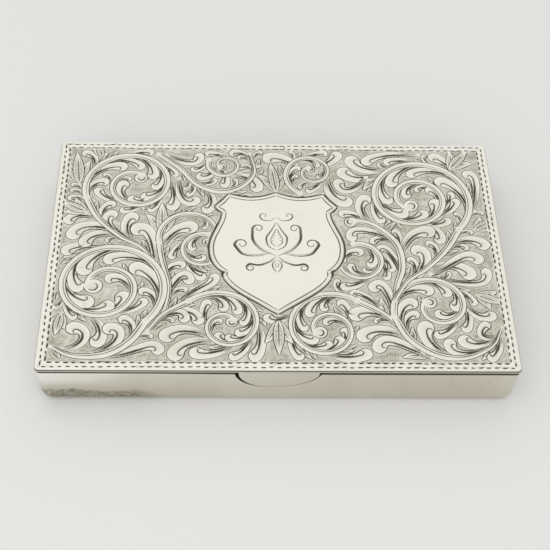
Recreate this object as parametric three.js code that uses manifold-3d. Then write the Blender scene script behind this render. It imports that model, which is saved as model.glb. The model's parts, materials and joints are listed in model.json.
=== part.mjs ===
// A flat silver business card case: a pressed tray with a hinged engraved lid.
// Millimetres, +Z up. The origin is the middle of the underside, the thumb tab faces -Y and the hinge
// runs along +Y. The lid turns about the hinge pin and its front edge rises.
import * as THREE from "three";
import { mergeVertices } from "three/addons/utils/BufferGeometryUtils.js";
import Module from "manifold-3d";

const wasm = await Module();
wasm.setup();

// Driving dimensions.
const WIDTH = 92;
const DEPTH = 60;
const HEIGHT = 10.5;
const LID_T = 0.85; // thickness of the lid plate
const LID_GAP = 0.2; // daylight between the lid plate and the tray's rim
const OVERHANG = 0.1; // how far the lid plate stands out past the tray's rim
const WALL = 0.8; // sheet thickness of the tray
const DRAFT = 0.02; // inward slope of the tray's walls, mm per mm
const FOOT_R = 1.5; // radius of the tray's lower edge
const CORNER_TOP = 0.9; // plan radius of the corners at the lid
const CORNER_FOOT = 2.3; // plan radius of the corners at the foot
const SEAM = 0.02; // solder seam between two joined pieces

// Hinge.
const BARREL_R = 1.0;
const BORE_R = 0.5;
const PIN_R = 0.45;
const KNUCKLES = 7; // odd ones belong to the tray, even ones to the lid
const KNUCKLE_GAP = 0.15;
const AXIS_DROP = 1.45; // pin axis below the underside of the lid plate
const AXIS_INSET = 1.25; // pin axis in from the back edge of the lid plate
const CRADLE_R = BARREL_R + 0.06; // groove of the two bearers round the barrel
const BEARER_T = 0.5; // metal of a bearer in front of its groove
const BEARER_END = 1; // the tray's bearer stops short of the rounded corners

// Thumb tab and the notch that it fills: two quarter ellipses that meet at the lowest point.
const NOTCH_DROP = 4.8;
const NOTCH_LOW_X = -2;
const NOTCH_LEFT = 6.4;
const NOTCH_RIGHT = 9.9;
const NOTCH_FILLET = 0.8;
const TAB_GAP_LEFT = 0.6;
const TAB_GAP_RIGHT = 0.14;
const TAB_GAP_LOW = 0.14;
const TAB_T = 0.8;

// Locating rims under the lid.
const RIM_T = 0.7;
const RIM_DROP = 1.5;
const RIM_CLEAR = 0.25; // running clearance to the tray's end walls
const RIM_FRONT_CLEAR = 0.35;
const PIP_R = 0.45;
const PIP_H = 0.18;

const LID_UNDER = HEIGHT - LID_T;
const TRAY_TOP = LID_UNDER - LID_GAP;
const AXIS_Z = LID_UNDER - AXIS_DROP;
const AXIS_Y = DEPTH / 2 - AXIS_INSET;
const TRAY_HALF_X = WIDTH / 2 - OVERHANG;
const TRAY_HALF_Y = DEPTH / 2 - OVERHANG;
const INNER_HALF_X = TRAY_HALF_X - WALL;
const INNER_HALF_Y = TRAY_HALF_Y - WALL;
const SPARE = 5; // how far a cutting tool runs past what it cuts

// Colours and finishes.
const silver = (colour, roughness) =>
  new THREE.MeshStandardMaterial({ color: colour, roughness, metalness: 1 });
const ENGRAVED = silver(0xe6e3d8, 0.3);
const POLISHED = silver(0xd8d2c4, 0.18);
const SATIN = silver(0xcfc9ba, 0.35);
const WIRE = silver(0xb9b6ae, 0.3);

// Booleans.
function toSolid(geometry) {
  const bare = (geometry.index ? geometry.toNonIndexed() : geometry).clone();
  bare.deleteAttribute("normal");
  bare.deleteAttribute("uv");
  const merged = mergeVertices(bare, 1e-4);
  return new wasm.Manifold(
    new wasm.Mesh({
      numProp: 3,
      vertProperties: new Float32Array(merged.attributes.position.array),
      triVerts: new Uint32Array(merged.index.array),
    }),
  );
}

function toGeometry(solid) {
  const mesh = solid.getMesh();
  const geometry = new THREE.BufferGeometry();
  geometry.setAttribute("position", new THREE.BufferAttribute(mesh.vertProperties, 3));
  geometry.setIndex(new THREE.BufferAttribute(mesh.triVerts, 1));
  geometry.computeVertexNormals();
  return geometry;
}

// A box from its lowest to its highest corner.
function block(low, high) {
  const size = high.map((v, k) => v - low[k]);
  const middle = high.map((v, k) => (v + low[k]) / 2);
  return new THREE.BoxGeometry(...size).translate(...middle);
}

// A cylinder along X about the hinge axis.
function hingeCylinder(radius, x0, x1, segments = 32) {
  return new THREE.CylinderGeometry(radius, radius, x1 - x0, segments)
    .rotateZ(Math.PI / 2)
    .translate((x0 + x1) / 2, AXIS_Y, AXIS_Z);
}

// The outline of a rounded rectangle, counter-clockwise seen from above.
function outline(halfX, halfY, radius, segments = 6) {
  const points = [];
  const corners = [[1, 1], [-1, 1], [-1, -1], [1, -1]];
  corners.forEach(([sx, sy], quarter) => {
    const arc = new THREE.EllipseCurve(
      sx * (halfX - radius), sy * (halfY - radius), radius, radius,
      (quarter * Math.PI) / 2, ((quarter + 1) * Math.PI) / 2,
    );
    points.push(...arc.getPoints(segments));
  });
  return points;
}

// A closed solid through a stack of outlines, [{ z, points }, ...] from the lowest up.
function loft(levels) {
  const count = levels[0].points.length;
  const vertices = levels.flatMap(({ z, points }) => points.flatMap((p) => [p.x, p.y, z]));
  const faces = [];
  for (let level = 0; level + 1 < levels.length; level++) {
    for (let i = 0; i < count; i++) {
      const j = (i + 1) % count;
      const a = level * count;
      const b = a + count;
      faces.push(a + i, a + j, b + j, a + i, b + j, b + i);
    }
  }
  const top = (levels.length - 1) * count;
  for (let i = 1; i + 1 < count; i++) {
    faces.push(0, i + 1, i);
    faces.push(top, top + i, top + i + 1);
  }
  const geometry = new THREE.BufferGeometry();
  geometry.setAttribute("position", new THREE.Float32BufferAttribute(vertices, 3));
  geometry.setIndex(faces);
  return geometry;
}

// One skin of the tray: inset 0 is the outside, and inset WALL the inside.
function traySkin(inset, footZ, topZ) {
  const radius = FOOT_R - inset * 0.6;
  const steps = 6;
  const levels = [];
  const level = (z, extra) => {
    const share = Math.min(1, Math.max(0, (TRAY_TOP - z) / TRAY_TOP));
    const away = inset + DRAFT * Math.max(0, TRAY_TOP - z) + extra;
    const corner = CORNER_TOP + (CORNER_FOOT - CORNER_TOP) * share - inset * 0.5;
    levels.push({ z, points: outline(TRAY_HALF_X - away, TRAY_HALF_Y - away, corner) });
  };
  for (let i = 0; i <= steps; i++) {
    const turn = (i / steps) * (Math.PI / 2);
    level(footZ + radius * (1 - Math.sin(turn)), radius * (1 - Math.cos(turn)));
  }
  levels.reverse();
  level(TRAY_TOP, 0);
  if (topZ > TRAY_TOP) {
    level(topZ, 0);
  }
  return loft(levels);
}

// The notch's or the tab's outline in the XZ plane, with its top at z = top.
function tongue(left, right, drop, top, rise) {
  const shape = new THREE.Shape();
  shape.moveTo(NOTCH_LOW_X - left, top + rise);
  shape.lineTo(NOTCH_LOW_X - left, top);
  shape.absellipse(NOTCH_LOW_X, top, left, drop, Math.PI, Math.PI * 1.5, false, 0);
  shape.absellipse(NOTCH_LOW_X, top, right, drop, Math.PI * 1.5, Math.PI * 2, false, 0);
  shape.lineTo(NOTCH_LOW_X + right, top + rise);
  shape.closePath();
  return shape;
}

// Extrudes a shape drawn in XZ from y0 to y1.
function slab(shape, y0, y1) {
  return new THREE.ExtrudeGeometry(shape, {
    depth: y1 - y0,
    bevelEnabled: false,
    curveSegments: 14,
  })
    .rotateX(Math.PI / 2)
    .translate(0, y1, 0);
}

// The corner where the notch's right side runs out into the rim is eased by a fillet.
function notchFillet() {
  const x = NOTCH_LOW_X + NOTCH_RIGHT;
  const shape = new THREE.Shape();
  shape.moveTo(x - NOTCH_FILLET, TRAY_TOP + SPARE);
  shape.lineTo(x - NOTCH_FILLET, TRAY_TOP - NOTCH_FILLET);
  shape.lineTo(x, TRAY_TOP - NOTCH_FILLET);
  shape.absarc(x + NOTCH_FILLET, TRAY_TOP - NOTCH_FILLET, NOTCH_FILLET, Math.PI, Math.PI / 2, true);
  shape.lineTo(x + NOTCH_FILLET, TRAY_TOP + SPARE);
  shape.closePath();
  return shape;
}

// The pressed tray, open at the top, with the thumb notch in front and the hinge seat behind.
function trayShell() {
  const seatZ = AXIS_Z - BARREL_R - 0.1;
  const cornerR = AXIS_DROP - 0.1; // the end walls' back corners are rounded about the pin
  const backCorner = toSolid(
    block([-WIDTH, AXIS_Y, AXIS_Z], [WIDTH, AXIS_Y + SPARE, AXIS_Z + SPARE]),
  ).subtract(toSolid(hingeCylinder(cornerR, -WIDTH - 1, WIDTH + 1, 48)));
  const notch = tongue(NOTCH_LEFT, NOTCH_RIGHT, NOTCH_DROP, TRAY_TOP, SPARE);
  const front = -DEPTH / 2;
  return toSolid(traySkin(0, 0, TRAY_TOP))
    .subtract(toSolid(traySkin(WALL, WALL, TRAY_TOP + SPARE)))
    .subtract(toSolid(slab(notch, front - 1, front + 3)))
    .subtract(toSolid(slab(notchFillet(), front - 1, front + 3)))
    .subtract(
      toSolid(
        block(
          [-INNER_HALF_X + 0.02, AXIS_Y - CRADLE_R, seatZ],
          [INNER_HALF_X - 0.02, DEPTH, HEIGHT + SPARE],
        ),
      ),
    )
    .subtract(backCorner);
}

// The strip with a groove, soldered inside the back wall, that the tray's knuckles lie in.
function trayBearer(halfX) {
  const depth = 2.3;
  const bar = block(
    [-halfX, AXIS_Y - CRADLE_R - BEARER_T, AXIS_Z - depth],
    [halfX, INNER_HALF_Y - DRAFT * TRAY_TOP, AXIS_Z - 0.2],
  );
  return toSolid(bar).subtract(toSolid(hingeCylinder(CRADLE_R, -WIDTH, WIDTH)));
}

// The grooved strip under the lid plate that the lid's knuckles lie in.
function lidBearer(halfX) {
  const bar = block(
    [-halfX, AXIS_Y - CRADLE_R - BEARER_T, AXIS_Z + 0.2],
    [halfX, AXIS_Y + 0.3, LID_UNDER - SEAM],
  );
  return toSolid(bar).subtract(toSolid(hingeCylinder(CRADLE_R, -WIDTH, WIDTH)));
}

function knuckle(x0, x1) {
  return toSolid(hingeCylinder(BARREL_R, x0, x1)).subtract(
    toSolid(hingeCylinder(BORE_R, x0 - 1, x1 + 1)),
  );
}

// The flat lid plate, with its upper edge eased.
function lidPlate() {
  const ease = 0.22;
  const at = (z, inset) => ({
    z,
    points: outline(WIDTH / 2 - inset, DEPTH / 2 - inset, CORNER_TOP - inset * 0.5),
  });
  const levels = [at(LID_UNDER, 0.06), at(LID_UNDER + 0.06, 0)];
  for (let i = 0; i <= 3; i++) {
    const turn = (i / 3) * (Math.PI / 2);
    levels.push(at(HEIGHT - ease + ease * Math.sin(turn), ease * (1 - Math.cos(turn))));
  }
  return loft(levels);
}

// The half-oval thumb tab that hangs from the lid's front edge and fills the notch.
function thumbTab() {
  const top = TRAY_TOP;
  const rise = LID_GAP - SEAM;
  const shape = tongue(
    NOTCH_LEFT - TAB_GAP_LEFT, NOTCH_RIGHT - TAB_GAP_RIGHT, NOTCH_DROP - TAB_GAP_LOW, top, rise,
  );
  return slab(shape, -DEPTH / 2, -DEPTH / 2 + TAB_T);
}

// A small dome on the outer face of an end rim. It clicks against the tray's end wall.
function rimPip(side, faceX) {
  const profile = [new THREE.Vector2(0, 0), new THREE.Vector2(PIP_R, 0)];
  for (let i = 1; i <= 4; i++) {
    const turn = (i / 4) * (Math.PI / 2);
    profile.push(new THREE.Vector2(i < 4 ? PIP_R * Math.cos(turn) : 0, PIP_H * Math.sin(turn)));
  }
  return new THREE.LatheGeometry(profile, 20)
    .rotateZ((-side * Math.PI) / 2)
    .translate(side * (faceX + SEAM), 0, LID_UNDER - RIM_DROP / 2);
}

const part = new THREE.Group();

function add(name, shape, material) {
  const geometry = shape.isBufferGeometry ? shape : toGeometry(shape);
  const mesh = new THREE.Mesh(geometry, material);
  mesh.name = name;
  part.add(mesh);
}

const hingeHalf = INNER_HALF_X - 0.2;
add("tray_shell", trayShell(), POLISHED);
add("tray_hinge_bearer", trayBearer(hingeHalf - BEARER_END), SATIN);
add("lid_hinge_bearer", lidBearer(hingeHalf), SATIN);
add("hinge_pin", hingeCylinder(PIN_R, -hingeHalf, hingeHalf, 24), WIRE);
const knuckleLength = (2 * hingeHalf - (KNUCKLES - 1) * KNUCKLE_GAP) / KNUCKLES;
for (let i = 0; i < KNUCKLES; i++) {
  const x0 = -hingeHalf + i * (knuckleLength + KNUCKLE_GAP);
  const owner = i % 2 ? "lid" : "tray";
  add(`${owner}_knuckle_${Math.floor(i / 2) + 1}`, knuckle(x0, x0 + knuckleLength), SATIN);
}

add("lid_plate", lidPlate(), ENGRAVED);
add("thumb_tab", thumbTab(), POLISHED);
const rimOuterX = INNER_HALF_X - RIM_CLEAR;
const rimOuterY = INNER_HALF_Y - RIM_FRONT_CLEAR;
const rimTop = LID_UNDER - SEAM;
const rimFoot = LID_UNDER - RIM_DROP;
const rimBack = AXIS_Y - CRADLE_R - BEARER_T - 0.3;
const frontHalf = rimOuterX - RIM_T - SEAM;
add("lid_rim_front", block([-frontHalf, -rimOuterY, rimFoot], [frontHalf, RIM_T - rimOuterY, rimTop]), SATIN);
for (const [word, side] of [["left", -1], ["right", 1]]) {
  const [x0, x1] = [side * rimOuterX, side * (rimOuterX - RIM_T)].sort((a, b) => a - b);
  add(`lid_rim_${word}`, block([x0, -rimOuterY, rimFoot], [x1, rimBack, rimTop]), SATIN);
  add(`rim_pip_${word}`, rimPip(side, rimOuterX), SATIN);
}

export default part;
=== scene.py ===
"""A flat silver card case with an engraved hinged lid, on a pale table top."""
import json
import math
import random

import bmesh
import bpy
import numpy as np
from mathutils import Matrix, Vector
from mathutils.geometry import delaunay_2d_cdt
from mathutils.kdtree import KDTree


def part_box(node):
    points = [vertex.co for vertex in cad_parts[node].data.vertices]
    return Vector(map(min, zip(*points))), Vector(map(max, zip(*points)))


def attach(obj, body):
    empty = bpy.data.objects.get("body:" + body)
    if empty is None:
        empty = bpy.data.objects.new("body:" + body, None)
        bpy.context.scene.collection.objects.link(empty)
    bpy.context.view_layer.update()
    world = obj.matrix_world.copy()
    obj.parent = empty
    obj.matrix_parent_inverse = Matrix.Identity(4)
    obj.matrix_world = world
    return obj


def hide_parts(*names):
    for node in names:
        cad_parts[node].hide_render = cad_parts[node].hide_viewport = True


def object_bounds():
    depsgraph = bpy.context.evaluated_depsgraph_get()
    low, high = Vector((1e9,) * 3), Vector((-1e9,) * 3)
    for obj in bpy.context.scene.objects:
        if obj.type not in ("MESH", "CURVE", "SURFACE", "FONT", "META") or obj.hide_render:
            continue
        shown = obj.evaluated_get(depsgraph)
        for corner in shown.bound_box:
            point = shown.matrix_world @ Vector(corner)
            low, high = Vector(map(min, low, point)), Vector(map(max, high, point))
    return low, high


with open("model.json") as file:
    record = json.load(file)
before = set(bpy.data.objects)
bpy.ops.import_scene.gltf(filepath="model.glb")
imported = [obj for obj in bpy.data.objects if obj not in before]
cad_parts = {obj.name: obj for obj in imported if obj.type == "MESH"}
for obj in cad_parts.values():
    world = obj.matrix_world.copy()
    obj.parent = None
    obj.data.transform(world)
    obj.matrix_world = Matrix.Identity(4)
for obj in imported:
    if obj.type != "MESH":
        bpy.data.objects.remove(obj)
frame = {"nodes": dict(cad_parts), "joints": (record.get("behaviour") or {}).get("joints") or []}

# --- sizes --------------------------------------------------------------------------------------
# Everything is drawn in millimetres in the CAD frame, and turned into metres when a mesh is made.

MM = 0.001
CAD_LOW, CAD_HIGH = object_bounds()


def box_mm(node):
    """(lowest corner, highest corner) of a CAD node in millimetres."""
    low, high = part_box(node)
    return np.array(low) / MM, np.array(high) / MM


LID_LOW, LID_HIGH = box_mm("lid_plate")
TRAY_LOW, TRAY_HIGH = box_mm("tray_shell")
TAB_LOW, TAB_HIGH = box_mm("thumb_tab")
HINGE = next(joint for joint in frame["joints"] if joint["name"] == "lid_hinge")
AXIS_Y = HINGE["pos_m"][1] / MM
AXIS_Z = HINGE["pos_m"][2] / MM
HALF_X = LID_HIGH[0]
HALF_Y = LID_HIGH[1]

# --- curves -------------------------------------------------------------------------------------


def polar(centre, radius, degrees):
    """The point at that radius and angle from a centre."""
    turn = math.radians(degrees)
    return np.array([centre[0] + radius * math.cos(turn), centre[1] + radius * math.sin(turn)])


def resample(points, step):
    """The same polyline with even steps of about that length. A third column is carried along."""
    points = np.asarray(points, float)
    lengths = np.hypot(*np.diff(points[:, :2], axis=0).T)
    along = np.concatenate([[0], np.cumsum(lengths)])
    count = max(3, int(round(along[-1] / step)) + 1)
    at = np.linspace(0, along[-1], count)
    return np.stack([np.interp(at, along, column) for column in points.T], -1)


def bezier(*controls, count=40):
    """A Bezier curve through its first and last control point, as a polyline."""
    t = np.linspace(0, 1, count)[:, None]
    order = len(controls) - 1
    curve = 0
    for k, point in enumerate(controls):
        curve = curve + math.comb(order, k) * t**k * (1 - t) ** (order - k) * np.array(point, float)
    return curve


def smooth(*knots):
    """A Catmull-Rom curve through all its knots, as a polyline."""
    p = np.array([knots[0], *knots, knots[-1]], float)
    p[0] = 2 * p[1] - p[2]
    p[-1] = 2 * p[-2] - p[-3]
    t = np.linspace(0, 1, 16, endpoint=False)[:, None]
    pieces = []
    for a, b, c, d in zip(p, p[1:], p[2:], p[3:]):
        square = (2 * a - 5 * b + 4 * c - d) * t**2
        cube = (3 * b - a - 3 * c + d) * t**3
        pieces.append(0.5 * (2 * b + (c - a) * t + square + cube))
    return np.concatenate([*pieces, p[-2:-1]])


def unit(turn):
    """Unit vectors at those angles in radians."""
    return np.stack([np.cos(turn), np.sin(turn)], -1)


def spiral(centre, start_deg, turn_deg, radius, end_radius, count=90, power=1.0):
    """A spiral arc about a centre. turn_deg above 0 goes round counter-clockwise."""
    t = np.linspace(0, 1, count)
    r = radius * (end_radius / radius) ** (t**power)
    return centre + r[:, None] * unit(np.radians(start_deg + turn_deg * t))


def profile(values, count, start=0.0, end=1.0):
    """Values given at even shares of a line, read at even shares between start and end."""
    values = np.atleast_1d(values)
    return np.interp(np.linspace(start, end, count), np.linspace(0, 1, len(values)), values)


def normals(points):
    """The unit normal to the left of a polyline at each of its points."""
    along = np.gradient(points, axis=0)
    along /= np.maximum(np.hypot(*along.T), 1e-9)[:, None]
    return np.stack([-along[:, 1], along[:, 0]], -1)


def offset(points, distance):
    """A polyline moved to its left by a distance, which may differ from point to point."""
    return points + normals(points) * np.reshape(distance, (-1, 1))


def portion(points, start, end):
    """The stretch of a polyline between two shares of its length."""
    fine = resample(points, 0.05)
    last = len(fine) - 1
    return fine[int(start * last) : int(end * last) + 1]


# --- the engraved lines -------------------------------------------------------------------------

FINE = 0.1  # step along a line where it is tested against what covers it
BEND = 0.14  # a new station where the length in mm times the turn in radians passes this
CELL = 0.1  # cell size of the map of covered metal


def taper_marks(length):
    """Where a pointed end of that length needs its stations, in steps from the end."""
    if length < 0.8:
        return (max(2, int(length / FINE)),)
    return (int(0.4 * length / FINE), int(length / FINE))


class Engraving:
    """The cuts on one plate. What is drawn first lies on top, and hides what is drawn later."""

    def __init__(self, half_x, half_y, seed=7):
        self.half = (half_x, half_y)
        self.shape = (int(2 * half_y / CELL) + 1, int(2 * half_x / CELL) + 1)
        self.covered = np.zeros(self.shape, bool)
        self.ornament = self.covered
        self.cuts = []
        self.stems = []
        self.limit = (half_x, half_y)
        self.random = random.Random(seed)

    def cell(self, points):
        """The map's row and column for each point."""
        column = np.clip(((points[:, 0] + self.half[0]) / CELL).round().astype(int), 0, self.shape[1] - 1)
        row = np.clip(((points[:, 1] + self.half[1]) / CELL).round().astype(int), 0, self.shape[0] - 1)
        return row, column

    def window(self, low, high):
        """Slices of the map that hold a box, and the coordinates of its cells."""
        c0, c1 = [int(round((v + self.half[0]) / CELL)) for v in (low[0], high[0])]
        r0, r1 = [int(round((v + self.half[1]) / CELL)) for v in (low[1], high[1])]
        c0, c1 = max(0, c0 - 1), min(self.shape[1], c1 + 2)
        r0, r1 = max(0, r0 - 1), min(self.shape[0], r1 + 2)
        x = np.arange(c0, c1) * CELL - self.half[0]
        y = np.arange(r0, r1) * CELL - self.half[1]
        return (slice(r0, r1), slice(c0, c1)), np.meshgrid(x, y)

    def fill(self, outline):
        """Marks the inside of a closed outline as covered."""
        outline = np.asarray(outline, float)
        where, (x, y) = self.window(outline.min(0), outline.max(0))
        inside = np.zeros(x.shape, bool)
        for (x0, y0), (x1, y1) in zip(outline, np.roll(outline, -1, axis=0)):
            if y0 != y1:
                inside ^= ((y0 > y) != (y1 > y)) & (x < (x1 - x0) * (y - y0) / (y1 - y0) + x0)
        self.covered[where] |= inside

    def fill_band(self, path, half):
        """Marks a band of changing width along a path as covered."""
        half = np.broadcast_to(half, len(path))
        for (x0, y0), r in zip(path, half):
            where, (x, y) = self.window((x0 - r, y0 - r), (x0 + r, y0 + r))
            self.covered[where] |= (x - x0) ** 2 + (y - y0) ** 2 <= r * r

    def cover_cuts(self):
        """Keeps what is drawn from here on off the cuts made so far."""
        self.ornament = self.covered.copy()
        for path, half, _ in self.cuts:
            fine = resample(np.column_stack([path, half]), CELL)
            for share in np.linspace(-1, 1, 5):
                edge = offset(fine[:, :2], share * (fine[:, 2] + 0.04))
                self.covered[self.cell(edge)] = True

    def cut(self, path, half, taper=(1.0, 1.0), grade="line", hidden=True):
        """One pass of the graver along a path, half as wide as half, with tapered ends.

        taper is the length of each pointed end in mm. Covered stretches are left out.
        """
        fine = resample(path, FINE)
        widths = profile(half, len(fine))
        along = np.arange(len(fine)) * np.hypot(*(fine[1] - fine[0]))
        for length, distance in ((taper[0], along), (taper[1], along[-1] - along)):
            widths = widths * np.minimum(1, distance / length) ** 0.7
        shown = ~self.covered[self.cell(fine)] if hidden else np.ones(len(fine), bool)
        shown &= (abs(fine) < self.limit).all(axis=1)
        starts = np.flatnonzero(np.diff(np.concatenate([[False], shown, [False]]).astype(int)))
        bearing = np.unwrap(np.arctan2(*np.gradient(fine, axis=0).T[::-1]))
        for a, b in zip(starts[::2], starts[1::2] - 1):
            if b - a < 3:
                continue
            picks = self.stations(bearing, a, b, taper, grade)
            w = widths[picks]
            w[0] = w[-1] = 0
            if w.max() > 0.02:
                self.cuts.append((fine[picks], w, grade))

    def stations(self, bearing, a, b, taper, grade):
        """The few points between a and b that keep a cut's bends, pointed ends and blunt ends."""
        last = len(bearing) - 1
        marks = {a, b}
        if grade == "ground":
            marks.add((a + b) // 2)
        else:
            marks |= {a + n for n in (taper_marks(taper[0]) if a == 0 else (2,)) if a + n < b}
            marks |= {b - n for n in (taper_marks(taper[1]) if b == last else (2,)) if b - n > a}
            marks.add((a + b) // 2)
            here = a
            for k in range(a + 1, b):
                if (k - here) * FINE * abs(bearing[k] - bearing[here]) > BEND:
                    marks.add(k)
                if k in marks:
                    here = k
        chosen = [a]
        for k in sorted(marks)[1:-1]:
            if k - chosen[-1] >= 2 and b - k >= 2:
                chosen.append(k)
        if len(chosen) == 1:
            chosen.append((a + b) // 2)
        return np.array([*chosen, b])

    def ground_at(self, points):
        """1 where the field is left free and gets the darkened ground, else 0."""
        inside = (abs(points[:, 0]) < FIELD[0] + 0.15) & (abs(points[:, 1]) < FIELD[1] + 0.15)
        return np.where(inside & ~self.ornament[self.cell(points)], 1.0, 0.0)

    def jitter(self, amount):
        """A random number within that amount of 0."""
        return self.random.uniform(-amount, amount)


# --- ornament -----------------------------------------------------------------------------------

LINE = 0.115  # half width of an outline
SHADE = 0.23  # half width of a full shading cut
HAIR = 0.068  # half width of a hatching line
FLOURISH = 0.135  # half width of a middling stroke of the flourish
STEM_STEP = 0.2  # step along stems and leaves
LOBE_ROOT = 0.3  # half width of a lobe where it leaves its stem
FIRST_LOBE = 0.06 * 360  # how far round a scroll its first lobe springs, in degrees
LOBE_REACH = 62  # how far round a scroll a lobe reaches, in degrees


def closed_outline(left, right, tip_centre, tip_radius):
    """The outline of a lobe: up its left side, round the tip and down its right side."""
    a0 = math.atan2(*(left[-1] - tip_centre)[::-1])
    a1 = math.atan2(*(right[-1] - tip_centre)[::-1])
    if a1 > a0:
        a1 -= 2 * math.pi
    cap = tip_centre + tip_radius * unit(np.linspace(a0, a1, 14)[1:-1])
    return np.concatenate([left, cap, right[::-1]])


def lobe(e, path, root, tip, bend, hatch=6):
    """A leaf lobe that grows from a narrow root to a round tip.

    root and tip are half widths. bend is the side it curls to: 1 for left and -1 for right.
    """
    path = resample(path, STEM_STEP)
    t = np.linspace(0, 1, len(path))
    half = root + (tip * 0.86 - root) * t**0.65
    swell = np.clip((t - 0.75) / 0.25, 0, 1)
    half = half + (tip - half) * swell**2 * (3 - 2 * swell)
    outline = closed_outline(offset(path, half), offset(path, -half), path[-1], tip)
    rim_weight = LINE * np.array([1.0, 1.5, 1.6, 1.1, 0.9, 0.8, 0.8, 0.7, 0.6])
    e.cut(outline if bend > 0 else outline[::-1], rim_weight, taper=(1.2, 2.0))
    lobe_shade(e, path, half, tip, bend)
    lobe_hatching(e, path, half, tip, bend, hatch)
    e.fill(outline)


def lobe_shade(e, path, half, tip, bend):
    """The deep crescent that follows the lobe's body and curls round inside its tip."""
    body = portion(path, 0.16, 0.93)
    share = np.linspace(0.16, 0.93, len(body))
    lane = profile(half, len(body), 0.16, 0.93)
    crescent = offset(body, bend * lane * (0.1 + 0.3 * np.sin(math.pi * share)))
    heading = math.degrees(math.atan2(*(crescent[-1] - crescent[-4])[::-1]))
    eye = 0.42 * tip
    centre = polar(crescent[-1], eye, heading + 90 * bend)
    curl = spiral(centre, heading - 90 * bend, 200 * bend, eye, eye * 0.55, count=14)
    stroke = np.concatenate([crescent, curl[1:]])
    pressure = SHADE * min(1.0, tip / 0.95) * np.array([0.35, 0.8, 1.15, 1.25, 1.0, 0.75, 0.5])
    e.cut(stroke, pressure, taper=(1.8, 0.6), grade="deep")


def lobe_hatching(e, path, half, tip, bend, hatch):
    """Hair lines that fan out of the lobe's root, and short ones across its shaded flank."""
    for side in np.linspace(-0.86, 0.86, hatch + 2)[1:-1]:
        start = 0.04 + abs(e.jitter(0.06))
        length = 0.50 + 0.16 * side * bend - 0.16 * abs(side) + e.jitter(0.1)
        end = min(0.82, start + length)
        stretch = portion(path, start, end)
        lane = profile(half, len(stretch), start, end)
        e.cut(offset(stretch, side * lane), HAIR, taper=(0.3, 1.5), grade="hair")
    ways = normals(path) * bend
    count = int(tip * hatch * 1.1)
    for k in range(count):
        at = int((0.2 + 0.5 * k / max(1, count)) * (len(path) - 1))
        side = ways[at] * half[at]
        along = np.array([side[1], -side[0]]) * bend
        a = path[at] + side * 0.98
        e.cut([a, a - side * 0.6 + along * 0.5], HAIR, taper=(0.05, 0.4), grade="hair")


def blade(e, path, widest, sides=4):
    """A pointed leaf with a midrib and side veins."""
    path = resample(path, STEM_STEP)
    t = np.linspace(0, 1, len(path))
    half = widest * np.sin(math.pi * t**0.85) ** 0.8
    half[0] = half[-1] = 0
    left, right = offset(path, half), offset(path, -half)
    e.cut(left, LINE * np.array([0.8, 1.2, 1.0]), taper=(0.6, 0.3))
    e.cut(right, LINE * np.array([0.8, 1.4, 1.2]), taper=(0.6, 0.3))
    e.cut(portion(path, 0.05, 0.8), SHADE * 0.7, taper=(0.8, 1.6), grade="deep")
    for k in range(sides):
        at = 0.15 + 0.5 * k / sides
        for side in (1, -1):
            stretch = portion(path, at, min(0.95, at + 0.28))
            lane = profile(half, len(stretch), at, at + 0.28)
            vein = offset(stretch, side * lane * np.linspace(0.25, 0.8, len(stretch)))
            e.cut(vein, HAIR, taper=(0.1, 0.8), grade="hair")
    e.fill(np.concatenate([left, right[::-1]]))


def ribbon(e, path, half, inside=1, groove=0.6, bulb=None, ends=(0.5, 0.5)):
    """A stem: a band with two edge lines and a shading cut along its inner side."""
    path = resample(path, STEM_STEP)
    half = profile(half, len(path))
    if bulb:
        centre = path[-1] + inside * normals(path)[-1] * (bulb - half[-1]) * 0.9
        heading = path[-1] - path[-3]
        start = math.degrees(math.atan2(heading[1], heading[0])) - inside * 90
        sweep = spiral(centre, start, inside * 300, bulb, bulb * 0.9, count=30)
        e.cut(sweep, LINE * 1.3, taper=(0.1, 0.8))
        eye = spiral(centre, start + inside * 20, inside * 250, bulb * 0.66, bulb * 0.3, count=24)
        e.cut(eye, SHADE * np.array([0.3, 0.8, 1.0, 0.7, 0.4]), taper=(0.5, 0.5), grade="deep")
        e.fill(centre + bulb * unit(np.radians(np.arange(0, 360, 15))))
    e.cut(offset(path, inside * half), LINE * 1.15, taper=ends)
    e.cut(offset(path, -inside * half), LINE, taper=ends)
    line = portion(path, 0.0, 0.99)
    lane = profile(half, len(line))
    pressure = SHADE * groove * np.array([0.3, 1, 0.5, 1.1, 0.6, 1.2, 0.7, 1.2, 0.5])
    e.cut(offset(line, inside * lane * 0.35), pressure, taper=(0.8, 0.8), grade="deep")
    e.fill_band(path, half)
    e.stems.append((path, half))


def scroll(e, centre, start, turn, radius, end_radius, half, bulb, lobes=0, tip=1.15, power=1.0):
    """A volute: a stem that winds in to a bulb, with leaf lobes between its turns.

    start is the angle it sets out from and turn the angle it runs through, in degrees.
    """
    way = 1 if turn > 0 else -1
    path = spiral(centre, start, turn, radius, end_radius, power=power)
    ribbon(e, path, half, inside=way, groove=0.5, bulb=bulb, ends=(0.1, 0.3))

    def stem_radius(angle):
        """The stem's radius after it has turned through an angle."""
        share = min(1.0, max(0.0, angle / abs(turn)))
        return radius * (end_radius / radius) ** (share**power)

    for k in range(lobes):
        angle = FIRST_LOBE + (abs(turn) - 300) * k / (lobes - 1)
        far = angle + LOBE_REACH + e.jitter(4)
        outer = stem_radius(angle) - half[0] * 0.5
        roof = stem_radius(far) - half[0] - tip * 0.95
        floor = end_radius + tip
        if far + 360 < abs(turn):
            floor = stem_radius(far + 360) + half[1] + tip * 0.85
        goal = max(0.35 * roof + 0.65 * floor, tip * 0.5)
        t = np.linspace(0, 1, 24)
        r = outer + (goal - outer) * t**1.5
        body = centre + r[:, None] * unit(np.radians(start + way * (angle + (far - angle) * t)))
        lobe(e, body, 0.25, tip * (0.92 if k % 2 else 1.08), bend=way)


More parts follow.
